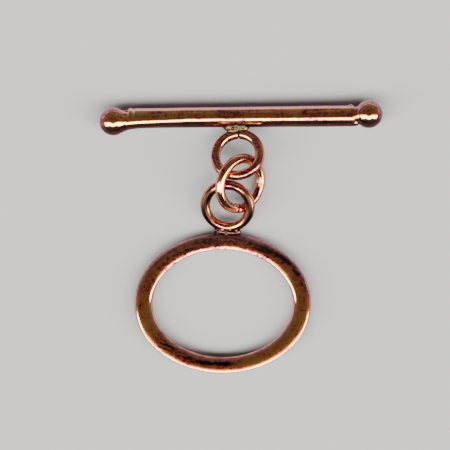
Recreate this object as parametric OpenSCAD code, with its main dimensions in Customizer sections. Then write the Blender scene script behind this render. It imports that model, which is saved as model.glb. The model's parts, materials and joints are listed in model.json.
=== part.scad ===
// Toggle clasp for a necklace or bracelet: a bar with a ball at each end, an oval loop, a wire
// ring soldered to each of them and a cut jump ring that links the two rings.
// It lies flat as it would on a table. Lengths are millimetres and angles are degrees.

/* [Bar] */
// Length of the bar over its two balls
bar_span = 21.8; // [16:0.1:30]
// Diameter of the bar
bar_d = 1.58; // [1:0.02:2]
// Diameter of the ball at each end
ball_d = 2.15; // [2:0.05:3.4]
// How far the left ball sits off the bar's axis, toward the loop
left_ball_shift = 0.24; // [0:0.01:0.4]
// How far the right ball sits off the bar's axis, away from the loop
right_ball_shift = 0.12; // [0:0.01:0.4]
// Turn of the bar about the vertical, against the loop
bar_turn = 0.6; // [-2:0.1:2]

/* [Loop] */
// Width of the oval loop over its outside, along the bar
loop_w = 13.6; // [12:0.1:20]
// Height of the oval loop over its outside, along the chain
loop_l = 10.74; // [8:0.02:11.8]
// Width of the loop's wire at its left and right, seen from above
loop_side_wall = 1.38; // [1:0.02:2]
// Width of the loop's wire at its top and bottom, seen from above
loop_end_wall = 1.24; // [1:0.02:2]
// Height of the loop's wire before its faces are planed
loop_round_h = 1.3; // [1:0.05:2]
// Depth planed off the wire's top and underside
loop_planed = 0.1; // [0.05:0.01:0.2]

/* [Rings] */
// Diameter of the wire of both soldered rings and of the jump ring
wire_d = 0.76; // [0.5:0.01:0.9]
// Inside diameter of the two soldered rings
ring_bore = 2.7; // [2.4:0.02:4]
// Rise of the bar's ring from the floor toward the jump ring
bar_ring_rise = 23; // [10:0.5:30]
// Roll of the bar's ring, its right side up
bar_ring_roll = 9.5; // [0:0.1:14]
// Place of the bar's ring along the bar, from the bar's middle
bar_ring_x = -0.26; // [-2:0.01:2]
// Rise of the loop's ring from the floor toward the jump ring
loop_ring_rise = 22; // [10:0.5:30]
// Roll of the loop's ring, its right side up
loop_ring_roll = 6.5; // [0:0.1:14]
// Place of the loop's ring beside the bar's ring, to the left
loop_ring_aside = 0.77; // [0:0.01:1.2]
// Place of the loop's ring along the loop, from the loop's middle
loop_ring_x = 0.37; // [-1:0.01:1]
// Height of the loop ring's soldered point over the loop's middle
loop_ring_lift = 0.28; // [0:0.01:0.4]

/* [Jump ring] */
// Inside diameter of the jump ring
link_bore = 3.2; // [2.8:0.02:4.2]
// Least tilt of the jump ring from the floor
link_tilt = 42; // [36:0.5:50]
// Direction in which the jump ring slopes down, from the bar's right end toward the loop
link_lean = 22; // [10:1:35]
// Furthest slide of the jump ring down its slope, as a share of its radius
link_slide = 0.33; // [0.1:0.01:0.35]
// Place of the cut, around the ring from its lowest point
link_cut_at = -71; // [-180:1:180]
// Width of the closed cut
link_cut = 0.04; // [0.02:0.01:0.2]
// Least clearance between the jump ring and the rings it links
link_clear = 0.035; // [0.02:0.005:0.1]

/* [Solder] */
// Diameter of the solder neck where it meets a ball
neck_d = 1.7; // [1.2:0.02:1.9]
// Length of a neck from the ball's middle
neck_l = 2.2; // [1.8:0.05:3]
// Gap that a neck fills between the ball and the bar's end
neck_gap = 0.08; // [0.02:0.01:0.3]
// Solder thickness between the bar and its ring
bar_solder = 0.16; // [0.1:0.01:0.5]
// Solder thickness between the loop and its ring
loop_solder = 0.15; // [0.05:0.01:0.5]
// Width of both solder seats along the bar and the loop
solder_w = 1.76; // [1:0.02:2.2]
// Height of both solder seats
solder_h = 0.5; // [0.3:0.02:0.6]

/* [Hidden] */
$fn = 96;
wire_fn = 32;

wire_r = wire_d / 2;
ring_r = (ring_bore + wire_d) / 2;
link_r = (link_bore + wire_d) / 2;

// Bar: its axis is as high as a ball that rests on the floor
axis_z = max(ball_d, bar_d) / 2;
ball_x = (bar_span - ball_d) / 2;
rod_half = ball_x - ball_d / 2 - neck_gap;

// Loop: its wire lies between two ellipses, and its section is an ellipse with planed faces
loop_h = loop_round_h - 2 * loop_planed;
loop_a = (loop_w - loop_side_wall) / 2;
loop_b = (loop_l - loop_end_wall) / 2;
loop_stations = 96;
loop_side_steps = 8;

// Soldered rings: each stands on the point of its mean circle that is soldered
bar_root = [bar_ring_x, -(bar_d / 2 + bar_solder + wire_r), axis_z];
bar_ring_c = bar_root + ring_r * [0, -cos(bar_ring_rise), sin(bar_ring_rise)];
bar_ring_n = normal(bar_ring_rise, -bar_ring_roll);
ring_plan = ring_r * (cos(bar_ring_rise) + cos(loop_ring_rise)) + wire_d + link_clear;
rings_apart = sqrt(pow(ring_plan, 2) - pow(loop_ring_aside, 2));
loop_root_z = loop_h / 2 + loop_ring_lift;
loop_ring_c = [bar_ring_c.x - loop_ring_aside, bar_ring_c.y - rings_apart,
               loop_root_z + ring_r * sin(loop_ring_rise)];
loop_ring_n = normal(-loop_ring_rise, -loop_ring_roll);
loop_root = loop_ring_c - ring_r * [0, cos(loop_ring_rise), sin(loop_ring_rise)];
loop_c = [loop_root.x - loop_ring_x, loop_root.y - wire_r - loop_solder - loop_l / 2, loop_h / 2];

// Jump ring: of the tilts and slides in turn, the first that clears both rings, with its
// lowest point on the floor
tilt_step = 1.5;
tilt_most = 75;
slide_step = 0.03;
link_samples = 90;
link_poses = [for (tilt = [link_tilt:tilt_step:tilt_most], slide = [link_slide:-slide_step:0])
    if (link_gap(tilt, slide) >= link_clear) [tilt, slide]];
link_pose = link_poses[0];
link_c = link_centre(link_pose[0], link_pose[1]);

// Frame: the origin is the middle of the clasp's box, on the floor
right_ball_y = ball_x * sin(bar_turn) + right_ball_shift * cos(bar_turn);
left_ball_y = -ball_x * sin(bar_turn) - left_ball_shift * cos(bar_turn);
back_y = max(right_ball_y, left_ball_y) + ball_d / 2;
front_y = loop_c.y - loop_l / 2;
to_frame = [0, -(back_y + front_y) / 2, 0];

function normal(rise, roll) = [sin(roll), cos(roll) * sin(rise), cos(roll) * cos(rise)];

function link_centre(tilt, slide) =
    let (middle = (bar_ring_c + loop_ring_c) / 2, down = slide * link_r)
    [middle.x + down * cos(link_lean), middle.y - down * sin(link_lean),
     link_r * sin(tilt) + wire_r];

// A point of the jump ring's mean circle, at angle turn from its lowest point
function link_point(tilt, slide, turn) =
    let (along = [cos(tilt) * cos(link_lean), -cos(tilt) * sin(link_lean), -sin(tilt)],
         across = [sin(link_lean), cos(link_lean), 0])
    link_centre(tilt, slide) + link_r * (cos(turn) * along + sin(turn) * across);

// Distance from a point to the mean circle of a soldered ring
function to_ring(point, centre, n) =
    let (reach = point - centre, height = reach * n, out = norm(reach - height * n))
    norm([out - ring_r, height]);

function link_gap(tilt, slide) =
    min([for (i = [0:link_samples - 1])
        let (point = link_point(tilt, slide, i * 360 / link_samples))
        min(to_ring(point, bar_ring_c, bar_ring_n), to_ring(point, loop_ring_c, loop_ring_n))])
    - wire_d;

module wire_ring(mean_r, turn = 360) {
    rotate_extrude(angle = turn) translate([mean_r, 0]) circle(d = wire_d, $fn = wire_fn);
}

// A block of solder between a straight edge and a round ring, hollow at both ends.
// It reaches from y = 0 down by reach, and the gap it fills starts at y = -edge.
module solder_seat(reach, edge, thickness) {
    out_r = ring_r + wire_r;
    fall = out_r - sqrt(out_r * out_r - solder_w * solder_w / 4);
    hollow_r = (thickness + fall) * 0.4;
    difference() {
        translate([-solder_w / 2, -reach, -solder_h / 2]) cube([solder_w, reach, solder_h]);
        for (side = [-1, 1])
            translate([side * solder_w / 2, -edge - (thickness + fall) / 2, -solder_h])
                cylinder(r = hollow_r, h = 2 * solder_h);
    }
}

// One end of the bar: its ball and the solder cone that runs from it onto the bar
module bar_end(side, shift) {
    run = [-side * neck_l, -shift, 0];
    lean = atan2(run.y, run.x);
    translate([side * ball_x, shift, 0]) {
        sphere(d = ball_d);
        rotate([0, 0, lean]) rotate([0, 90, 0])
            cylinder(d1 = neck_d, d2 = bar_d * 0.8, h = norm(run));
    }
}

module toggle_bar() {
    color("peru") translate(to_frame) {
        translate([0, 0, axis_z]) rotate([0, 0, bar_turn]) {
            rotate([0, 90, 0]) cylinder(d = bar_d, h = 2 * rod_half, center = true);
            bar_end(-1, -left_ball_shift);
            bar_end(1, right_ball_shift);
        }
        translate(bar_root) rotate([-bar_ring_rise, 0, 0]) rotate([0, -bar_ring_roll, 0])
            translate([0, -ring_r, 0]) wire_ring(ring_r);
        translate([bar_ring_x, 0, axis_z]) solder_seat(-bar_root.y, bar_d / 2, bar_solder);
    }
}

// The loop's wire: a section at each station around the oval, joined to the next.
// Each section runs up its outer side and down its inner side.
module loop_wire() {
    planed_at = asin(loop_h / loop_round_h);
    side = [for (i = [0:loop_side_steps]) planed_at * (2 * i / loop_side_steps - 1)];
    turns = concat(side, [for (angle = side) 180 + angle]);
    count = len(turns);
    points = [for (i = [0:loop_stations - 1], turn = turns)
        let (around = i * 360 / loop_stations, out = cos(turn) / 2)
        [(loop_a + out * loop_side_wall) * cos(around), (loop_b + out * loop_end_wall) * sin(around),
         sin(turn) * loop_round_h / 2]];
    faces = [for (i = [0:loop_stations - 1], j = [0:count - 1])
        let (next = (i + 1) % loop_stations, up = (j + 1) % count)
        [i * count + j, i * count + up, next * count + up, next * count + j]];
    polyhedron(points, faces);
}

module toggle_loop() {
    color("peru") translate(to_frame) {
        translate(loop_c) loop_wire();
        translate(loop_root) rotate([loop_ring_rise, 0, 0]) rotate([0, -loop_ring_roll, 0])
            translate([0, ring_r, 0]) wire_ring(ring_r);
        translate([loop_root.x, loop_c.y + loop_b, (loop_root.z + loop_c.z) / 2])
            mirror([0, 1, 0])
                solder_seat(loop_root.y - loop_c.y - loop_b, loop_end_wall / 2, loop_solder);
    }
}

module jump_ring() {
    cut_angle = link_cut / link_r * 180 / PI;
    color("sandybrown") translate(to_frame + link_c) rotate([0, 0, -link_lean])
        rotate([0, link_pose[0], 0]) rotate([0, 0, link_cut_at + cut_angle / 2])
            wire_ring(link_r, 360 - cut_angle);
}

toggle_bar();
toggle_loop();
jump_ring();
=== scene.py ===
"""Dresses the toggle clasp: soldered copper with its fillets, the cut ring, light and camera."""

import json
import math

import bpy
import numpy as np
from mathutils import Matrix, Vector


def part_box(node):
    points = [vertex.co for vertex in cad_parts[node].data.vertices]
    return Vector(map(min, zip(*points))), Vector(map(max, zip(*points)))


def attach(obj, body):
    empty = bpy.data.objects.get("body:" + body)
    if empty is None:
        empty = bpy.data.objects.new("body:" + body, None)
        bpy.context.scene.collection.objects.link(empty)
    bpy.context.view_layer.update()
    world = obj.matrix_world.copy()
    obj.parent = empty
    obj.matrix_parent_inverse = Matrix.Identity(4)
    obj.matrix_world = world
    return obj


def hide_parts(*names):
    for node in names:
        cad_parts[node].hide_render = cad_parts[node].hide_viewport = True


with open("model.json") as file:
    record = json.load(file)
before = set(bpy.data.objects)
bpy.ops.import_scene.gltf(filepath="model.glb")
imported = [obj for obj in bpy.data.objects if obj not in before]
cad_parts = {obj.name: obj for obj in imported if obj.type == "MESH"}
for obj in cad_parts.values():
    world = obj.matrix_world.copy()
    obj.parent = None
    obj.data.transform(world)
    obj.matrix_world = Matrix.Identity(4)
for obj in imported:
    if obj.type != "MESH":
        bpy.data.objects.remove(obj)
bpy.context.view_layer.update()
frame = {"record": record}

MM = 0.001
LEFT, RIGHT = -1, 1

# Sizes of the real clasp, in millimetres
BAR_SPAN = 21.8
BAR_D = 1.58
BAR_TAPER = 0.0035          # growth of the bar's radius for each mm toward its right end
BAR_TURN = math.radians(0.6)
BALL_D = 2.15
BALL_SHIFT = {LEFT: -0.24, RIGHT: 0.12}     # of each ball off the bar's axis, away from the loop
NECK_GAP = 0.08             # from the bar's end to the ball
RIGHT_MORE = 0.06           # by which the bar's right end reaches further
NECK_R = {LEFT: 0.78, RIGHT: 0.69}          # of the solder neck, at the ball
NECK_FILLET = {LEFT: 0.3, RIGHT: 0.12}
NECK_END_R = 0.62           # of the neck where it runs out, inside the bar
NECK_REACH = 2.3            # from the ball's centre to there
LOOP_W, LOOP_L, LOOP_H = 13.6, 10.74, 1.1
LOOP_SIDE_WALL, LOOP_END_WALL = 1.38, 1.24
LOOP_HALF_WALL = 0.65       # half the width of the loop's wire, nearly the same all around
WIRE_R = 0.38
RING_R = 1.73               # mean radius of the two soldered rings
BAR_RING_RISE, LOOP_RING_RISE = math.radians(23), math.radians(22)
LINK_R = 1.98               # mean radius of the jump ring
LINK_LEAN = math.radians(22)    # of its low side, from the right toward the loop
LINK_CUT = 0.04
LINK_CUT_AT = math.radians(-71)     # around the ring, from its low side
GROOVE_DEPTH, SEAM_DEPTH = 0.05, 0.12
RING_SKIN = 0.06            # within this of a ring's wire, a place takes the ring's finish

# Cells of the meshing grids, and how far a grid reaches past its node's box, in millimetres
FINE, COARSE, LOOP_CELL, SEAM_CELL = 0.046, 0.11, 0.062, 0.02
GRID_MARGIN = 0.12
SLAB = 24                   # grid planes that a field is worked out for at a time


def mount(name):
    """Centre in mm and unit axis of one of the record's mounts."""
    found = next(m for m in frame["record"]["mounts"] if m["name"] == name)
    axis = np.array(found["axis"], float)
    return np.array(found["pos_m"]) / MM, axis / np.linalg.norm(axis)


def box_mm(node):
    """Lowest and highest corner of a CAD node."""
    low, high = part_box(node)
    return np.array(low) / MM, np.array(high) / MM


# Places, worked out from the frame
BAR_RING_C, BAR_RING_N = mount("bar_ring")
LOOP_RING_C, LOOP_RING_N = mount("loop_ring")
BALL_X = (BAR_SPAN - BALL_D) / 2
AXIS_Z = BALL_D / 2
right_ball_y = BALL_X * math.sin(BAR_TURN) + BALL_SHIFT[RIGHT] * math.cos(BAR_TURN)
BAR_Y = box_mm("toggle_bar")[1][1] - BALL_D / 2 - right_ball_y
loop_low, loop_high = box_mm("toggle_loop")
LOOP_C = np.array([(loop_low[0] + loop_high[0]) / 2, loop_low[1] + LOOP_L / 2, LOOP_H / 2])
ROD_HALF = BALL_X - BALL_D / 2 - NECK_GAP
SEAT_X = BAR_RING_C[0] - 0.1
SEAM_X = BAR_RING_C[0] + 0.08
BAR_ROOT_Y = BAR_RING_C[1] + RING_R * math.cos(BAR_RING_RISE)
LOOP_ROOT_Y = LOOP_RING_C[1] - RING_R * math.cos(LOOP_RING_RISE)

# Small lumps of solder: centre, radius and width of the fillet. Those of the bar's ends are
# placed along, across and up from the bar's middle, those of the seats in the frame
RIGHT_END_LUMPS = (
    ((ROD_HALF - 0.24, 0.75, 0.18), 0.15, 0.06),)
LEFT_END_LUMPS = (
    ((-ROD_HALF - 0.14, 0.50, 0.22), 0.15, 0.06),
    ((-ROD_HALF + 0.18, 0.64, 0.18), 0.14, 0.06),
    ((-8.92, -0.28, 0.66), 0.11, 0.05),
    ((-9.18, -1.00, 0.28), 0.11, 0.05),
    ((-8.88, -0.90, 0.24), 0.09, 0.05))
BAR_SEAT_LUMPS = (
    ((-0.94, BAR_Y - 0.83, AXIS_Z + 0.24), 0.11, 0.06),
    ((-0.62, BAR_Y - 0.86, AXIS_Z + 0.33), 0.11, 0.06),
    ((-0.36, BAR_Y - 0.70, AXIS_Z + 0.36), 0.11, 0.06),
    ((0.20, BAR_Y - 0.80, AXIS_Z + 0.33), 0.11, 0.06))
# The first of these is a bright pip, the others stand in a row
LOOP_SEAT_LUMPS = (
    ((LOOP_RING_C[0] - 0.09, LOOP_ROOT_Y - 0.52, 1.00), 0.07, 0.07),
    ((LOOP_RING_C[0] - 0.74, LOOP_ROOT_Y - 0.36, 0.98), 0.11, 0.07),
    ((LOOP_RING_C[0] - 0.40, LOOP_ROOT_Y - 0.25, 1.02), 0.09, 0.07),
    ((LOOP_RING_C[0] + 0.20, LOOP_ROOT_Y - 0.25, 1.03), 0.11, 0.07),
    ((LOOP_RING_C[0] + 0.64, LOOP_ROOT_Y - 0.30, 1.00), 0.13, 0.07))


# Curves that shapes and colours share

def bell(offset, width):
    """1 where offset is 0, and near 0 from twice the width."""
    return np.exp(-((offset / width) ** 2))


def climb(amount, over=1.0):
    """0 up to an amount of 0, and rising to 1 over the given length."""
    return np.clip(amount / over, 0.0, 1.0)


def between(places, stops, **options):
    """Values between stops of (place, value)."""
    at, values = zip(*stops)
    return np.interp(places, at, values, **options)


def turned(angle, stops):
    """A value around an oval: stops are (degrees, value), counted from the right toward the bar."""
    return between(np.degrees(angle) % 360, stops, period=360)


# Distance fields: each takes coordinates in mm and gives mm, negative inside

def blend(a, b, width):
    """Smooth union of two fields, with a fillet about as wide as width."""
    h = np.clip(0.5 + 0.5 * (b - a) / width, 0.0, 1.0)
    return b + (a - b) * h - width * h * (1.0 - h)


def ball(p, centre, radius):
    """A sphere."""
    return np.sqrt(sum((p[i] - centre[i]) ** 2 for i in range(3))) - radius


def blob(p, centre, radii):
    """An ellipsoid."""
    scaled = [(p[i] - centre[i]) / radii[i] for i in range(3)]
    near = np.sqrt(sum(s * s for s in scaled)) + 1e-6
    far = np.sqrt(sum((s / r) ** 2 for s, r in zip(scaled, radii))) + 1e-6
    return near * (near - 1.0) / far


def rounded(side, end, edge):
    """Two faces whose shared edge is rounded by edge; both are given from where that begins."""
    inner = np.minimum(np.maximum(side, end), 0)
    outer = np.sqrt(np.maximum(side, 0) ** 2 + np.maximum(end, 0) ** 2)
    return inner + outer - edge


def rod(p, radius, low, high, edge):
    """A rod along the first axis, its ends rounded off by edge."""
    side = np.sqrt(p[1] ** 2 + p[2] ** 2) - radius + edge
    end = np.abs(p[0] - (low + high) / 2) - (high - low) / 2 + edge
    return rounded(side, end, edge)


def cone(p, start, end, r_start, r_end):
    """A tapered capsule from start to end."""
    axis = np.array(end, float) - np.array(start, float)
    length = np.linalg.norm(axis)
    share = sum((p[i] - start[i]) * axis[i] for i in range(3)) / length**2
    share = np.clip(share, 0.0, 1.0)
    gap = np.sqrt(sum((p[i] - start[i] - share * axis[i]) ** 2 for i in range(3)))
    return gap - (r_start + (r_end - r_start) * share)


def ring_parts(p, centre, normal):
    """Height over a ring's plane, and distance from its axis."""
    reach = [p[i] - centre[i] for i in range(3)]
    height = sum(reach[i] * normal[i] for i in range(3))
    out = np.sqrt(np.maximum(sum(r * r for r in reach) - height * height, 0.0))
    return height, out


def soldered_ring(p, centre, normal):
    """The round wire of one of the two soldered rings."""
    height, out = ring_parts(p, centre, normal)
    return np.sqrt((out - RING_R) ** 2 + height * height) - WIRE_R


def with_lumps(shape, p, lumps):
    """A shape with small lumps of solder blended on, in their order."""
    for centre, radius, fillet in lumps:
        shape = blend(shape, ball(p, centre, radius), fillet)
    return shape


# The bar

def bar_coordinates(p):
    """Along the bar, across it away from the loop, and up, from the bar's middle."""
    x, y = p[0], p[1] - BAR_Y
    along = x * math.cos(BAR_TURN) + y * math.sin(BAR_TURN)
    across = -x * math.sin(BAR_TURN) + y * math.cos(BAR_TURN)
    return along, across, p[2] - AXIS_Z


def bar_rod(q):
    """The bar itself, a little thicker toward its right end and not quite even."""
    wave = 0.005 * np.sin(q[0] * 1.3 + 0.6)
    radius = BAR_D / 2 + BAR_TAPER * q[0] + wave
    return rod(q, radius, -ROD_HALF, ROD_HALF + RIGHT_MORE, edge=0.11)


def ball_end(q, side):
    """A ball with the tapered neck of solder that joins it to the bar."""
    centre = (side * BALL_X, BALL_SHIFT[side], 0.0)
    inner = (side * (BALL_X - NECK_REACH), -0.02, 0.0)
    neck = cone(q, centre, inner, NECK_R[side], NECK_END_R)
    return blend(ball(q, centre, BALL_D / 2), neck, NECK_FILLET[side])


def right_end(shape, q):
    """Adds a rough bead of solder on the right neck's loop side, and a small bump opposite."""
    bead = blob(q, centre=(ROD_HALF + 0.16, -0.52, 0.08), radii=(0.24, 0.27, 0.32))
    return with_lumps(blend(shape, bead, 0.09), q, RIGHT_END_LUMPS)


def left_end(shape, q):
    """Adds the flare on the left neck's loop side, the fuller top beside it, lumps and a groove."""
    flare = cone(q, (-BALL_X + 0.2, -0.42, 0.0), (-BALL_X + 1.55, -0.28, 0.0), 0.62, 0.50)
    fuller = cone(q, (-BALL_X + 0.6, -0.31, 0.22), (-BALL_X + 5.2, -0.16, 0.20), 0.52, 0.45)
    shape = blend(blend(shape, flare, 0.2), fuller, 0.2)
    shape = with_lumps(shape, q, LEFT_END_LUMPS)
    groove = bell(q[0] + ROD_HALF - 0.42, width=0.05) * climb(q[1] + 0.25, over=0.5)
    return shape + GROOVE_DEPTH * groove


def bar_ring(p):
    """The bar's wire ring, with its closed seam across the wire."""
    seam = bell(p[0] - SEAM_X, width=0.055) * (p[1] > BAR_RING_C[1])
    return soldered_ring(p, BAR_RING_C, BAR_RING_N) + SEAM_DEPTH * seam


def bar_field(p):
    """The whole bar piece."""
    q = bar_coordinates(p)
    shape = bar_rod(q)
    for side in (LEFT, RIGHT):
        shape = blend(shape, ball_end(q, side), 0.07)
    shape = left_end(right_end(shape, q), q)
    seat = blob(p, centre=(SEAT_X, BAR_ROOT_Y + 0.48, AXIS_Z - 0.02), radii=(0.96, 0.34, 0.40))
    shape = blend(blend(shape, seat, 0.2), bar_ring(p), 0.13)
    return with_lumps(shape, p, BAR_SEAT_LUMPS)


# The loop

def loop_across(p):
    """Place in the oval wire's section: -1 at its inner side, 1 at its outer side."""
    x, y = np.abs(p[0] - LOOP_C[0]), np.abs(p[1] - LOOP_C[1])
    a, b = (LOOP_W - LOOP_SIDE_WALL) / 2, (LOOP_L - LOOP_END_WALL) / 2
    da, db = LOOP_SIDE_WALL / 2, LOOP_END_WALL / 2
    across = np.zeros_like(x)
    # Newton steps to the ellipse between the inner and the outer one that passes through p
    for _ in range(5):
        wide, high = a + across * da, b + across * db
        value = (x / wide) ** 2 + (y / high) ** 2 - 1.0
        slope = -2 * ((x / wide) ** 2 * da / wide + (y / high) ** 2 * db / high)
        across = np.clip(across - value / np.minimum(slope, -1e-3), -4.0, 4.0)
    return across


def loop_wire(p):
    """The loop's flat wire: a low dome over and under, and rounder edges where it faces the bar."""
    across = loop_across(p)
    x, y = (p[0] - LOOP_C[0]) / LOOP_W, (p[1] - LOOP_C[1]) / LOOP_L
    toward_bar = y / (np.sqrt(x**2 + y**2) + 1e-6)
    faces_end = -np.sign(across) * toward_bar
    edge = 0.32 - 0.25 * climb(faces_end, over=0.5)
    aside = np.abs(across) * LOOP_HALF_WALL
    side = aside - LOOP_HALF_WALL + edge
    dome = aside**2 / (5.3 - 0.6 * toward_bar)
    top = np.abs(p[2] - LOOP_C[2]) + dome - LOOP_H / 2 + edge
    return rounded(side, top, edge)


def loop_field(p):
    """The whole loop piece."""
    seat_centre = (LOOP_RING_C[0] - 0.02, LOOP_ROOT_Y - 0.38, 0.66)
    seat = blob(p, seat_centre, radii=(1.05, 0.38, 0.34))
    ring = soldered_ring(p, LOOP_RING_C, LOOP_RING_N)
    shape = blend(blend(loop_wire(p), seat, 0.3), ring, 0.24)
    return with_lumps(shape, p, LOOP_SEAT_LUMPS)


# Meshing

CORNERS = [(i, j, k) for i in (0, 1) for j in (0, 1) for k in (0, 1)]


def spaced(low, high, zones, coarse):
    """Grid values from low to high: zones (from, to, cell) have their own cell, the rest coarse."""
    values = [low]
    while values[-1] < high:
        here = values[-1]
        cell = min([c for a, b, c in zones if a <= here + 1e-9 < b] + [coarse])
        ahead = [a - here for a, b, c in zones if a > here + 1e-6 and a - here < cell]
        values.append(here + max(min([cell] + ahead), 0.01))
    return np.array(values, np.float32)


def sampled(field, axes):
    """The field at every point of a grid, worked out a slab at a time."""
    xs, ys, zs = axes
    values = np.empty((len(xs), len(ys), len(zs)), np.float32)
    for start in range(0, len(xs), SLAB):
        block = np.meshgrid(xs[start:start + SLAB], ys, zs, indexing="ij")
        values[start:start + SLAB] = field(block)
    return values


def crossed_cells(inside):
    """The grid cells that the surface crosses, and a grid that holds each one's number."""
    size = tuple(np.array(inside.shape) - 1)
    count = np.zeros(size, np.int8)
    for corner in CORNERS:
        count += inside[tuple(slice(c, c + s) for c, s in zip(corner, size))]
    cells = np.argwhere((count > 0) & (count < len(CORNERS)))
    number = np.full(size, -1, np.int64)
    number[tuple(cells.T)] = np.arange(len(cells))
    return cells, number


def crossing_means(values, axes, cells):
    """For each cell, the mean of the points where its edges cross the surface."""
    total, hits = np.zeros((len(cells), 3)), np.zeros(len(cells))
    for corner in CORNERS:
        for d in range(3):
            if corner[d]:
                continue
            far = list(corner)
            far[d] = 1
            v0 = values[tuple((cells + corner).T)]
            v1 = values[tuple((cells + far).T)]
            cross = (v0 < 0) != (v1 < 0)
            share = np.where(cross, v0 / np.where(cross, v0 - v1, 1), 0)
            place = np.stack([axes[i][cells[:, i] + corner[i]] for i in range(3)], 1)
            place[:, d] += share * (axes[d][cells[:, d] + 1] - axes[d][cells[:, d]])
            total += place * cross[:, None]
            hits += cross
    return total / hits[:, None]


def crossing_quads(inside, number):
    """A quad around each grid edge that crosses the surface, facing outward."""
    size = number.shape
    quads = []
    for d in range(3):
        u, v = (d + 1) % 3, (d + 2) % 3
        edges = np.argwhere(np.diff(inside, axis=d))
        at_u, at_v = edges[:, u], edges[:, v]
        edges = edges[(at_u > 0) & (at_v > 0) & (at_u < size[u]) & (at_v < size[v])]
        ring = []
        for du, dv in ((-1, -1), (0, -1), (0, 0), (-1, 0)):
            cell = edges.copy()
            cell[:, u] += du
            cell[:, v] += dv
            ring.append(number[tuple(cell.T)])
        ring = np.stack(ring, 1)
        outward = inside[tuple(edges.T)]
        quads.append(np.where(outward[:, None], ring, ring[:, ::-1]))
    return np.concatenate(quads)


def slopes(field, p, step=0.002):
    """The field's gradient at points, by differences over a small step."""
    grad = np.empty_like(p)
    for i in range(3):
        lower, upper = [c.copy() for c in p], [c.copy() for c in p]
        lower[i] -= step
        upper[i] += step
        grad[i] = (field(upper) - field(lower)) / (2 * step)
    return grad


def surface(field, axes):
    """Vertices, quads and normals of a field's zero surface, one vertex in each cell it crosses."""
    values = sampled(field, axes)
    inside = values < 0
    cells, number = crossed_cells(inside)
    points = crossing_means(values, axes, cells).T.copy()
    # Newton steps along the gradient bring the vertices onto the surface
    for _ in range(5):
        value, grad = field(points), slopes(field, points)
        move = value / np.maximum((grad**2).sum(0), 0.05)
        points -= np.clip(move, -FINE, FINE) * grad
    grad = slopes(field, points)
    normals = grad / np.linalg.norm(grad, axis=0)
    return points.T, crossing_quads(inside, number), normals.T


def cut_wire_ring(centre, normal, low_side):
    """The jump ring: its ends nearly meet, a little out of line, and their edges are broken."""
    across = np.cross(normal, low_side)
    stations, around = 260, 48
    cut_angle = LINK_CUT / LINK_R
    first_turn = LINK_CUT_AT + cut_angle / 2
    turns = np.linspace(first_turn, LINK_CUT_AT + 2 * math.pi - cut_angle / 2, stations)
    # The last stations at both ends round off the edge of the end face
    edge = 0.05
    first = [first_turn + edge / LINK_R * s for s in (0.0, 0.25, 0.6, 1.0)]
    turns[:4] = first
    turns[-4:] = [2 * LINK_CUT_AT + 2 * math.pi - t for t in first[::-1]]
    shrink = np.ones(stations)
    shrink[:4] = [1 - s * edge / WIRE_R for s in (1.0, 0.45, 0.1, 0.0)]
    shrink[-4:] = shrink[:4][::-1]
    # Near the cut the wire springs up on one side, down on the other, and inward on both
    from_cut = np.minimum(turns - turns[0], turns[-1] - turns)
    spring = 0.05 * bell(from_cut, width=0.5)
    side = np.where(turns - turns[0] < math.pi, 1.0, -1.0)
    out = np.cos(turns)[:, None] * low_side + np.sin(turns)[:, None] * across
    middle = centre + LINK_R * out
    middle = middle + (side * spring)[:, None] * normal - (0.4 * spring)[:, None] * out
    section = np.linspace(0, 2 * math.pi, around, endpoint=False)[None, :, None]
    spread = np.cos(section) * out[:, None, :] + np.sin(section) * normal
    points = middle[:, None, :] + WIRE_R * shrink[:, None, None] * spread
    i, j = np.meshgrid(np.arange(stations - 1), np.arange(around), indexing="ij")
    i, j = i.ravel() * around, j.ravel()
    up = (j + 1) % around
    quads = np.stack([i + j, i + around + j, i + around + up, i + up], 1)
    caps = [list(range(around)), [(stations - 1) * around + k for k in range(around)][::-1]]
    return points.reshape(-1, 3), quads, caps


def mesh_object(name, points, quads, marks, normals=None, caps=()):
    """A Blender object from arrays in mm, with smooth faces and its marks as attributes."""
    mesh = bpy.data.meshes.new(name)
    faces = [tuple(q) for q in quads.tolist()] + [tuple(c) for c in caps]
    mesh.from_pydata((points * MM).tolist(), [], faces)
    mesh.polygons.foreach_set("use_smooth", [True] * len(quads) + [False] * len(caps))
    for key, values in marks.items():
        kind, part = ("FLOAT_VECTOR", "vector") if values.ndim == 2 else ("FLOAT", "value")
        attribute = mesh.attributes.new(key, kind, "POINT")
        attribute.data.foreach_set(part, values.astype(np.float32).ravel())
    mesh.update()
    if normals is not None:
        mesh.normals_split_custom_set_from_vertices(normals.tolist())
    obj = bpy.data.objects.new(name, mesh)
    bpy.context.scene.collection.objects.link(obj)
    return obj


# Marks: attributes that tell the copper where it is golden or dark (tone), where painted shade
# darkens its flanks or its seam is dark (flank_shade_and_seam), where it has a painted pinkish
# reflection (painted_rim_reflection), where a joint is browned or a ring's ridge has painted shade
# (dark_joints_and_ridge_shade), and where it is solder

# How tarnished the bar is along its length in mm, from 0 for golden to 1 for black
BAR_TONE = (
    (-10.5, 0.35), (-8.6, 0.12), (-7.0, 0.27), (-3.5, 0.36), (-1.6, 0.4), (-0.4, 0.68),
    (1.0, 0.22), (3.5, 0.5), (8.0, 0.46), (9.5, 0.3), (10.5, 0.5))
BAR_RING_TONE = 0.56
LINK_TONE = 0.45
# The same around the loop, in degrees
LOOP_TONE = (
    (0, 0.28), (30, 0.38), (50, 0.58), (90, 0.66), (130, 0.66), (160, 0.56), (180, 0.36),
    (200, 0.24), (225, 0.35), (250, 0.4), (270, 0.45), (300, 0.3), (330, 0.24))
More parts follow.
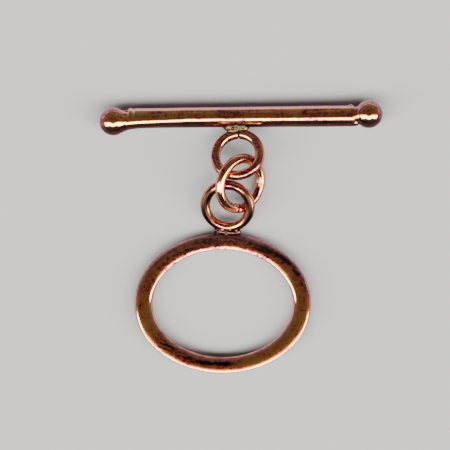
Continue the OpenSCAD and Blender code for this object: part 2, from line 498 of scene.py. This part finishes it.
# How dark the loop's two painted dark reflections are, and where across the wire they run
UPPER_DARK_REFLECTION = ((8, 0.0), (20, 0.4), (32, 0.75), (47, 0.75), (65, 0.3), (80, 0.0))
UPPER_DARK_REFLECTION_AT = ((20, 0.6), (45, 0.5), (55, 0.25), (68, 0.1))
LOWER_DARK_REFLECTION = ((205, 0.0), (225, 0.35), (240, 0.3), (255, 0.55), (272, 0.55), (298, 0.0))
LOWER_DARK_REFLECTION_AT = -0.1
# The middle of the loop's scratches in mm, and how close together they are
SCRATCHES_X, SCRATCHES_Y = -5.8, -8.45
SCRATCH_RATE = 21.0

# The normal's height at which the painted pinkish reflection starts, on wires and at the middle of a
# ball
REFLECTION_FROM, BALL_REFLECTION_FROM = 0.74, 0.5


def ring_grain(points, centre, normal, mean_r):
    """Coordinates for streaks along a ring's wire: three together, and apart, the fourth."""
    height, out = ring_parts(points.T, centre, normal)
    side = np.cross(normal, [0.0, 1.0, 0.0])
    side /= np.linalg.norm(side)
    ahead = np.cross(normal, side)
    turn = np.arctan2((points - centre) @ ahead, (points - centre) @ side)
    return np.stack([out, height, mean_r * np.cos(turn)], 1), mean_r * np.sin(turn)


def grain_marks(points, ring_centre, ring_normal, on_ring, grain, grain_w):
    """The grain of a piece's main part, and that of its ring where the ring is."""
    of_ring, of_ring_w = ring_grain(points, ring_centre, ring_normal, RING_R)
    grain = np.where(on_ring[:, None], of_ring, grain)
    return {"grain": grain, "grain_w": np.where(on_ring, of_ring_w, grain_w)}


def soldered_near(points, centre, radii):
    """1 around a centre, fading to 0 between 0.6 and 1.6 times the radii."""
    reach = np.sqrt((((points - centre) / radii) ** 2).sum(1))
    return climb(1.6 - reach)


def flank_shade_and_seam(normals):
    """Painted shade on flanks that face the loop's end, and a trace of it on those that face sideways.
    """
    share = climb(0.15 - 1.8 * normals[:, 1])
    return share * climb(0.80 - normals[:, 2], over=0.10)


def reflection_share(normals):
    """How much painted pinkish reflection a flank has: the more, the more it faces away from the loop.
    """
    return climb(0.6 + 1.2 * normals[:, 1])


def painted_reflection(normals, start=REFLECTION_FROM):
    """A painted pinkish reflection on flanks, from where their normals are this upright."""
    return 0.66 * reflection_share(normals) * climb(start - normals[:, 2], over=0.14)


def bar_marks(points, normals):
    """The bar's marks: painted shade on the balls below their shoulders, and a dark seam in the ring.
    """
    p = points.T
    along, across, up = bar_coordinates(p)
    on_ring = soldered_ring(p, BAR_RING_C, BAR_RING_N) < RING_SKIN
    seam = on_ring * (points[:, 1] > BAR_RING_C[1]) * bell(points[:, 0] - SEAM_X, width=0.07)
    # Painted shade: the balls are darker where their normals lean far from upright
    shoulder_shade = (np.abs(along) > ROD_HALF) * climb(0.76 - normals[:, 2], over=0.08)
    reflection_from = between(np.abs(along), ((ROD_HALF, REFLECTION_FROM), (BALL_X, BALL_REFLECTION_FROM)))
    seat = soldered_near(points, (SEAT_X, BAR_ROOT_Y + 0.52, AXIS_Z), radii=(0.9, 0.36, 0.9))
    bead = soldered_near(points, (ROD_HALF + 0.05, BAR_Y - 0.5, AXIS_Z), radii=(0.25, 0.35, 0.8))
    bar_grain = np.stack([across, up, along], 1)
    marks = grain_marks(points, BAR_RING_C, BAR_RING_N, on_ring, bar_grain, 0.0)
    marks["tone"] = np.where(on_ring, BAR_RING_TONE, between(along, BAR_TONE) + 0.5 * shoulder_shade)
    # Painted shade on flanks, with the seam's real dark line added
    marks["flank_shade_and_seam"] = np.maximum(flank_shade_and_seam(normals), seam)
    # Painted pinkish reflection on flanks, and a little on the balls below their shoulders
    marks["painted_rim_reflection"] = np.maximum(painted_reflection(normals, reflection_from), 0.22 * shoulder_shade * reflection_share(normals))
    marks["dark_joints_and_ridge_shade"] = seam
    marks["solder"] = np.maximum(seat, 0.6 * bead)
    return marks


def loop_scratches(points):
    """Short dark scratches, in a patch at the loop's lower left."""
    x, y = points[:, 0], points[:, 1]
    patch = bell(x - SCRATCHES_X, width=0.75) * bell(y - SCRATCHES_Y, width=0.6)
    lines = climb(np.sin((0.34 * x + 0.94 * y) * SCRATCH_RATE))
    return 0.9 * patch * lines


def loop_reflection_and_wall_shade(normals, across, turn, on_ring):
    """The loop's painted pinkish reflection, and painted shade on its walls toward the bar."""
    # The painted reflection is on flanks and on the rims that face the bar, and thin all over the bar's
    # half
    facing = climb(0.55 + 1.2 * across * np.sin(turn))
    rim = facing * climb(np.abs(across) - 0.38, over=0.3)
    # Painted shade on the walls that face the bar
    painted_wall_shade = facing * climb(np.abs(across) - 0.72, over=0.2)
    reflection_haze = 0.24 * climb(across + 0.5) * climb(np.sin(turn) + 0.15)
    flanks = (0.7 - 0.35 * painted_wall_shade) * painted_reflection(normals)
    return np.maximum(flanks, np.maximum(0.45 * rim - 0.2 * painted_wall_shade, reflection_haze) * ~on_ring), painted_wall_shade


def loop_marks(points, normals):
    """The loop's marks: two painted dark reflections, scratches, painted shade on its walls and its
    ring's ridge, and a browned seat.
    """
    p = points.T
    across = loop_across(p)
    turn = np.arctan2((p[1] - LOOP_C[1]) / LOOP_L, (p[0] - LOOP_C[0]) / LOOP_W)
    on_ring = soldered_ring(p, LOOP_RING_C, LOOP_RING_N) < RING_SKIN
    # Two bands of painted dark reflection around the loop
    upper = turned(turn, UPPER_DARK_REFLECTION) * bell(across - turned(turn, UPPER_DARK_REFLECTION_AT), width=0.38)
    lower = turned(turn, LOWER_DARK_REFLECTION) * bell(across - LOWER_DARK_REFLECTION_AT, width=0.32)
    painted_rim_reflection, painted_wall_shade = loop_reflection_and_wall_shade(normals, across, turn, on_ring)
    seat = soldered_near(points, (LOOP_RING_C[0], LOOP_ROOT_Y - 0.42, 0.7), radii=(1.2, 0.35, 0.8))
    # The ridge of the ring's sides, which gets painted shade
    beside = climb(np.abs(points[:, 0] - LOOP_RING_C[0]) / RING_R - 0.45, over=0.3)
    ridge_shade = climb(normals @ LOOP_RING_N - 0.70, over=0.16)
    mean = (LOOP_W + LOOP_L) / 4
    wire_grain = np.stack([across * LOOP_HALF_WALL, p[2], mean * np.cos(turn)], 1)
    marks = grain_marks(points, LOOP_RING_C, LOOP_RING_N, on_ring, wire_grain, mean * np.sin(turn))
    marks["tone"] = turned(turn, LOOP_TONE) + upper + lower + loop_scratches(points)
    # Painted shade darkens the walls toward the bar
    marks["tone"] += 0.4 * painted_wall_shade * ~on_ring
    # Painted shade on flanks
    marks["flank_shade_and_seam"] = flank_shade_and_seam(normals)
    # Painted pinkish reflection, less where the upper painted dark reflection lies
    marks["painted_rim_reflection"] = painted_rim_reflection * (1.0 - upper)
    # The seat is browned; the ridge of the ring's sides gets painted shade
    marks["dark_joints_and_ridge_shade"] = np.maximum(0.9 * seat, on_ring * beside * ridge_shade)
    marks["solder"] = np.zeros(len(points))
    return marks


def link_marks(points, middle, normal):
    """The jump ring's marks: an even tone, less painted flank shade than the rest has, and the painted
    pinkish reflection.
    """
    around = points - middle
    spoke = around - (around @ normal)[:, None] * normal
    spoke *= LINK_R / np.linalg.norm(spoke, axis=1)[:, None]
    normals = (around - spoke) / WIRE_R
    grain, grain_w = ring_grain(points, middle, normal, LINK_R)
    none = np.zeros(len(points))
    return {"grain": grain, "grain_w": grain_w, "tone": np.full(len(points), LINK_TONE),
            "flank_shade_and_seam": 0.4 * flank_shade_and_seam(normals), "painted_rim_reflection": painted_reflection(normals), "dark_joints_and_ridge_shade": none, "solder": none}


# Materials

# The copper's own colours, and the tone from which each one shows
GOLD, AMBER, COPPER = (0.68, 0.45, 0.20), (0.72, 0.30, 0.09), (0.66, 0.24, 0.15)
MAROON, OXIDE = (0.40, 0.07, 0.065), (0.020, 0.015, 0.044)
TARNISH = ((0.0, GOLD), (0.26, AMBER), (0.5, COPPER), (0.78, MAROON), (1.0, OXIDE))
# What lies on it: painted shade on flanks and the dark seam, the painted pinkish reflection, the brown
# of joints with painted shade on a ring's ridge, solder
FLANK_SHADE_AND_SEAM_DARK, MAUVE_REFLECTION = (0.048, 0.024, 0.027), (0.90, 0.47, 0.53)
JOINT_BROWN_AND_SHADE, SOLDER = (0.022, 0.009, 0.006), (0.020, 0.026, 0.021)
GRAZING_TINT = (0.92, 0.66, 0.68, 1)

# Noise scales: streaks for each mm across and along the wire, patches and pits for each metre
STREAKS_ACROSS, STREAKS_ALONG = 6.5, 0.6
PATCHES, PITS = 900.0, 5200.0
# How far each noise sways the tone
STREAK_SWAY, PATCH_SWAY, PIT_SWAY = 2.1, 1.6, 1.6
BUMP_HEIGHT = 0.0000022


def node(tree, kind, **values):
    """A new node with its inputs or its own settings given by name."""
    made = tree.nodes.new(kind)
    for key, value in values.items():
        if key in made.inputs.keys():
            made.inputs[key].default_value = value
        else:
            setattr(made, key, value)
    return made


def mark(tree, name):
    """One of a piece's marks."""
    return node(tree, "ShaderNodeAttribute", attribute_name=name).outputs["Fac"]


def ramp(tree, source, stops):
    """A colour between stops of (place, colour)."""
    made = tree.nodes.new("ShaderNodeValToRGB")
    elements = made.color_ramp.elements
    while len(elements) < len(stops):
        elements.new(0.5)
    for element, (place, colour) in zip(elements, stops):
        element.position = place
        element.color = (*colour, 1.0)
    tree.links.new(source, made.inputs["Fac"])
    return made.outputs["Color"]


def maths(tree, operation, *operands):
    """A sum or other operation on numbers and outputs."""
    made = node(tree, "ShaderNodeMath", operation=operation)
    for socket, value in zip(made.inputs, operands):
        if isinstance(value, (int, float)):
            socket.default_value = value
        else:
            tree.links.new(value, socket)
    return made.outputs[0]


def mixed(tree, share, a, b):
    """Colour a where share is 0, b where it is 1."""
    made = node(tree, "ShaderNodeMix", data_type="RGBA")
    sockets = {s.identifier: s for s in made.inputs}
    for key, value in (("Factor_Float", share), ("A_Color", a), ("B_Color", b)):
        if isinstance(value, tuple):
            sockets[key].default_value = (*value, 1.0)
        else:
            tree.links.new(value, sockets[key])
    return next(s for s in made.outputs if s.identifier == "Result_Color")


def wire_streaks(tree):
    """A noise drawn out along the wire, by the piece's grain coordinates."""
    grain = node(tree, "ShaderNodeAttribute", attribute_name="grain").outputs["Vector"]
    stretch = node(tree, "ShaderNodeVectorMath", operation="MULTIPLY")
    stretch.inputs[1].default_value = (STREAKS_ACROSS, STREAKS_ACROSS, STREAKS_ALONG)
    tree.links.new(grain, stretch.inputs[0])
    grain_w = maths(tree, "MULTIPLY", mark(tree, "grain_w"), STREAKS_ALONG)
    made = node(tree, "ShaderNodeTexNoise", noise_dimensions="4D", Scale=1.0, Detail=3.0, Roughness=0.6)
    tree.links.new(stretch.outputs[0], made.inputs["Vector"])
    tree.links.new(grain_w, made.inputs["W"])
    return made.outputs["Fac"]


def speckle(tree, scale, detail):
    """A noise in the object's own coordinates."""
    place = node(tree, "ShaderNodeTexCoord").outputs["Object"]
    made = node(tree, "ShaderNodeTexNoise", Scale=scale, Detail=detail, Roughness=0.6)
    tree.links.new(place, made.inputs["Vector"])
    return made.outputs["Fac"]


def copper_colour(tree, streak, patch, pits):
    """Tarnish swayed by the three noises, then painted shade, a painted pinkish reflection and browning
    over it, with solder last.
    """
    hue = mark(tree, "tone")
    for noise, sway in ((streak, STREAK_SWAY), (patch, PATCH_SWAY), (pits, PIT_SWAY)):
        hue = maths(tree, "MULTIPLY_ADD", maths(tree, "SUBTRACT", noise, 0.5), sway, hue)
    colour = ramp(tree, hue, TARNISH)
    # Painted shade on flanks and the dark seam, uneven along the streaks
    uneven = maths(tree, "MULTIPLY_ADD", streak, 0.4, 0.76)
    colour = mixed(tree, maths(tree, "MULTIPLY", mark(tree, "flank_shade_and_seam"), uneven), colour, FLANK_SHADE_AND_SEAM_DARK)
    # Painted pinkish reflection
    colour = mixed(tree, mark(tree, "painted_rim_reflection"), colour, MAUVE_REFLECTION)
    # Browned joints, and painted shade on a ring's ridge
    colour = mixed(tree, mark(tree, "dark_joints_and_ridge_shade"), colour, JOINT_BROWN_AND_SHADE)
    return mixed(tree, maths(tree, "MULTIPLY", mark(tree, "solder"), 0.96), colour, SOLDER)


def copper_roughness(tree, streak, polish):
    """A polish that is duller along streaks, on browned joints and the ring's shaded ridge, and most of
    all on solder.
    """
    rough = maths(tree, "MULTIPLY_ADD", streak, 0.12, polish - 0.06)
    rough = maths(tree, "MULTIPLY_ADD", mark(tree, "solder"), 0.34, rough)
    return maths(tree, "MULTIPLY_ADD", mark(tree, "dark_joints_and_ridge_shade"), 0.12, rough)


def copper_relief(tree, streak, patch, pits):
    """Fine streaks and pits, and lumps in the solder."""
    height = maths(tree, "MULTIPLY_ADD", pits, 0.35, streak)
    lumps = maths(tree, "MULTIPLY", patch, mark(tree, "solder"))
    height = maths(tree, "MULTIPLY_ADD", lumps, 3.0, height)
    bump = node(tree, "ShaderNodeBump", Strength=1.0, Distance=BUMP_HEIGHT)
    tree.links.new(height, bump.inputs["Height"])
    return bump.outputs["Normal"]


def copper(name, polish):
    """Polished copper with streaks along the wire, tarnish from gold to black, painted shade, a painted
    pinkish reflection, and dull solder.
    """
    mat = bpy.data.materials.new(name)
    mat.use_nodes = True
    tree = mat.node_tree
    shader = tree.nodes["Principled BSDF"]
    shader.inputs["Metallic"].default_value = 1.0
    shader.inputs["Specular Tint"].default_value = GRAZING_TINT
    streak = wire_streaks(tree)
    patch = speckle(tree, PATCHES, detail=4.0)
    pits = speckle(tree, PITS, detail=2.0)
    tree.links.new(copper_colour(tree, streak, patch, pits), shader.inputs["Base Color"])
    tree.links.new(copper_roughness(tree, streak, polish), shader.inputs["Roughness"])
    tree.links.new(copper_relief(tree, streak, patch, pits), shader.inputs["Normal"])
    return mat


# Pieces

def toggle_bar():
    """The bar with its balls and its ring, soldered into one piece."""
    low, high = box_mm("toggle_bar")
    low, high = low - GRID_MARGIN, high + GRID_MARGIN
    fine_along = (
        (low[0], -ROD_HALF + 0.9, FINE),
        (BAR_RING_C[0] - RING_R - 0.5, BAR_RING_C[0] + RING_R + 0.5, FINE),
        (SEAM_X - 0.12, SEAM_X + 0.12, SEAM_CELL),
        (ROD_HALF - 0.9, high[0] + COARSE, FINE))
    xs = spaced(low[0], high[0], fine_along, COARSE)
    axes = (xs, spaced(low[1], high[1], (), FINE), spaced(low[2], high[2], (), FINE))
    points, quads, normals = surface(bar_field, axes)
    piece = mesh_object("soldered_bar", points, quads, bar_marks(points, normals), normals)
    piece.data.materials.append(copper("bar_copper", polish=0.12))
    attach(piece, "root")
    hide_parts("toggle_bar")


def toggle_loop():
    """The oval loop with its ring, soldered into one piece."""
    low, high = box_mm("toggle_loop")
    low, high = low - GRID_MARGIN, high + GRID_MARGIN
    ring_along = (LOOP_RING_C[0] - RING_R - 0.6, LOOP_RING_C[0] + RING_R + 0.6, FINE)
    ring_across = (LOOP_RING_C[1] - RING_R - 0.9, high[1] + COARSE, FINE)
    xs = spaced(low[0], high[0], [ring_along], LOOP_CELL)
    ys = spaced(low[1], high[1], [ring_across], LOOP_CELL)
    axes = (xs, ys, spaced(low[2], high[2], (), FINE))
    points, quads, normals = surface(loop_field, axes)
    piece = mesh_object("soldered_loop", points, quads, loop_marks(points, normals), normals)
    piece.data.materials.append(copper("loop_copper", polish=0.12))
    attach(piece, "root")
    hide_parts("toggle_loop")


def jump_ring():
    """The cut ring that joins the two halves, tilted as the CAD's box says."""
    low, high = box_mm("jump_ring")
    middle = (low + high) / 2
    tilt = math.asin((high[2] - low[2] - 2 * WIRE_R) / (2 * LINK_R))
    lean = np.array([math.cos(LINK_LEAN), -math.sin(LINK_LEAN), 0.0])
    up = np.array([0.0, 0.0, 1.0])
    normal = math.sin(tilt) * lean + math.cos(tilt) * up
    low_side = math.cos(tilt) * lean - math.sin(tilt) * up
    points, quads, caps = cut_wire_ring(middle, normal, low_side)
    marks = link_marks(points, middle, normal)
    piece = mesh_object("cut_jump_ring", points, quads, marks, caps=caps)
    piece.data.materials.append(copper("ring_copper", polish=0.11))
    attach(piece, "root")
    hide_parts("jump_ring")


# Stage, light and camera

def floor():
    """A plain pale floor."""
    mesh = bpy.data.meshes.new("floor")
    reach = 1.5
    corners = [(x * reach, y * reach, 0) for x, y in ((-1, -1), (1, -1), (1, 1), (-1, 1))]
    mesh.from_pydata(corners, [], [(0, 1, 2, 3)])
    obj = bpy.data.objects.new("floor", mesh)
    bpy.context.scene.collection.objects.link(obj)
    mat = bpy.data.materials.new("floor")
    mat.use_nodes = True
    shader = mat.node_tree.nodes["Principled BSDF"]
    shader.inputs["Base Color"].default_value = (0.305, 0.278, 0.360, 1)
    shader.inputs["Roughness"].default_value = 0.9
    shader.inputs["Specular IOR Level"].default_value = 0.1
    mesh.materials.append(mat)


# The light's colours: its band, and the dome around it low down, overhead, toward the loop's
# side and under the band
BAND_COLOUR, LOW_COLOUR, TOP_COLOUR = (0.90, 1.0, 0.73), (0.95, 0.87, 0.92), (1.0, 0.93, 0.80)
LOOP_SIDE_COLOUR, UNDER_COLOUR = (1.15, 0.76, 0.42), (0.55, 0.65, 1.0)
BAND_STRENGTH, DOME_STRENGTH = 20.0, 0.28
DIMMER_OVERHEAD, DIMMER_UNDER = 0.13, 0.17


def smooth_step(tree, source, low, high):
    """0 at low, 1 at high and smooth between them; low may be the larger of the two."""
    made = node(tree, "ShaderNodeMapRange", interpolation_type="SMOOTHSTEP")
    made.inputs["From Min"].default_value = low
    made.inputs["From Max"].default_value = high
    tree.links.new(source, made.inputs["Value"])
    return made.outputs["Result"]


def directions(tree):
    """How far a direction lies aside and up, and which slope toward the loop mirrors it upward."""
    split = node(tree, "ShaderNodeSeparateXYZ")
    tree.links.new(node(tree, "ShaderNodeTexCoord").outputs["Generated"], split.inputs[0])
    up = split.outputs["Z"]
    level = maths(tree, "SQRT", maths(tree, "SUBTRACT", 1.001, maths(tree, "MULTIPLY", up, up)))
    sideways = maths(tree, "DIVIDE", maths(tree, "ABSOLUTE", split.outputs["X"]), level)
    rise = maths(tree, "SQRT", maths(tree, "MULTIPLY_ADD", up, 2.0, 2.001))
    slope = maths(tree, "DIVIDE", maths(tree, "MULTIPLY", split.outputs["Y"], -1.0), rise)
    return sideways, up, slope


def studio():
    """A dim dome with one wide soft band of light, high on the loop's side."""
    world = bpy.data.worlds.new("studio")
    bpy.context.scene.world = world
    world.use_nodes = True
    tree = world.node_tree
    back = tree.nodes["Background"]
    sideways, up, slope = directions(tree)
    # The band reaches lower at its two sides, where its upper edge bends a little up
    aside = smooth_step(tree, sideways, 0.62, 0.90)
    low_end = smooth_step(tree, maths(tree, "MULTIPLY_ADD", aside, 0.50, up), 0.70, 0.76)
    bend = maths(tree, "MULTIPLY", sideways, sideways)
    front = smooth_step(tree, maths(tree, "MULTIPLY_ADD", bend, 0.11, slope), 0.165, 0.225)
    band = maths(tree, "MULTIPLY", low_end, front)
    # The dome is dimmer and warmer overhead, and darker and bluer under the band
    overhead = smooth_step(tree, up, 0.3, 1.0)
    under = maths(tree, "MULTIPLY", front, smooth_step(tree, up, 0.80, 0.70))
    dim = maths(tree, "MULTIPLY_ADD", overhead, -DIMMER_OVERHEAD, DOME_STRENGTH)
    dim = maths(tree, "MULTIPLY_ADD", under, -DIMMER_UNDER, dim)
    tree.links.new(maths(tree, "MULTIPLY_ADD", band, BAND_STRENGTH, dim), back.inputs["Strength"])
    shade = mixed(tree, overhead, LOW_COLOUR, TOP_COLOUR)
    shade = mixed(tree, smooth_step(tree, slope, -0.20, 0.15), shade, LOOP_SIDE_COLOUR)
    shade = mixed(tree, under, shade, UNDER_COLOUR)
    tree.links.new(mixed(tree, band, shade, BAND_COLOUR), back.inputs["Color"])


# The photograph looks straight down; its middle lies here, in millimetres
PICTURE_MIDDLE = (-1.23, 0.90)
PICTURE_PIXELS, PIXELS_PER_MM = 450, 13.0
CAMERA_HEIGHT = 250.0
SENSOR_WIDTH = 36.0


def camera():
    """A camera that looks straight down from well above the clasp."""
    data = bpy.data.cameras.new("camera")
    obj = bpy.data.objects.new("camera", data)
    bpy.context.scene.collection.objects.link(obj)
    picture_mm = PICTURE_PIXELS / PIXELS_PER_MM
    data.sensor_width = SENSOR_WIDTH
    data.lens = SENSOR_WIDTH * (CAMERA_HEIGHT - AXIS_Z) / picture_mm
    data.clip_start = 0.01
    obj.location = (PICTURE_MIDDLE[0] * MM, PICTURE_MIDDLE[1] * MM, CAMERA_HEIGHT * MM)
    bpy.context.scene.camera = obj


toggle_bar()
toggle_loop()
jump_ring()
floor()
studio()
camera()
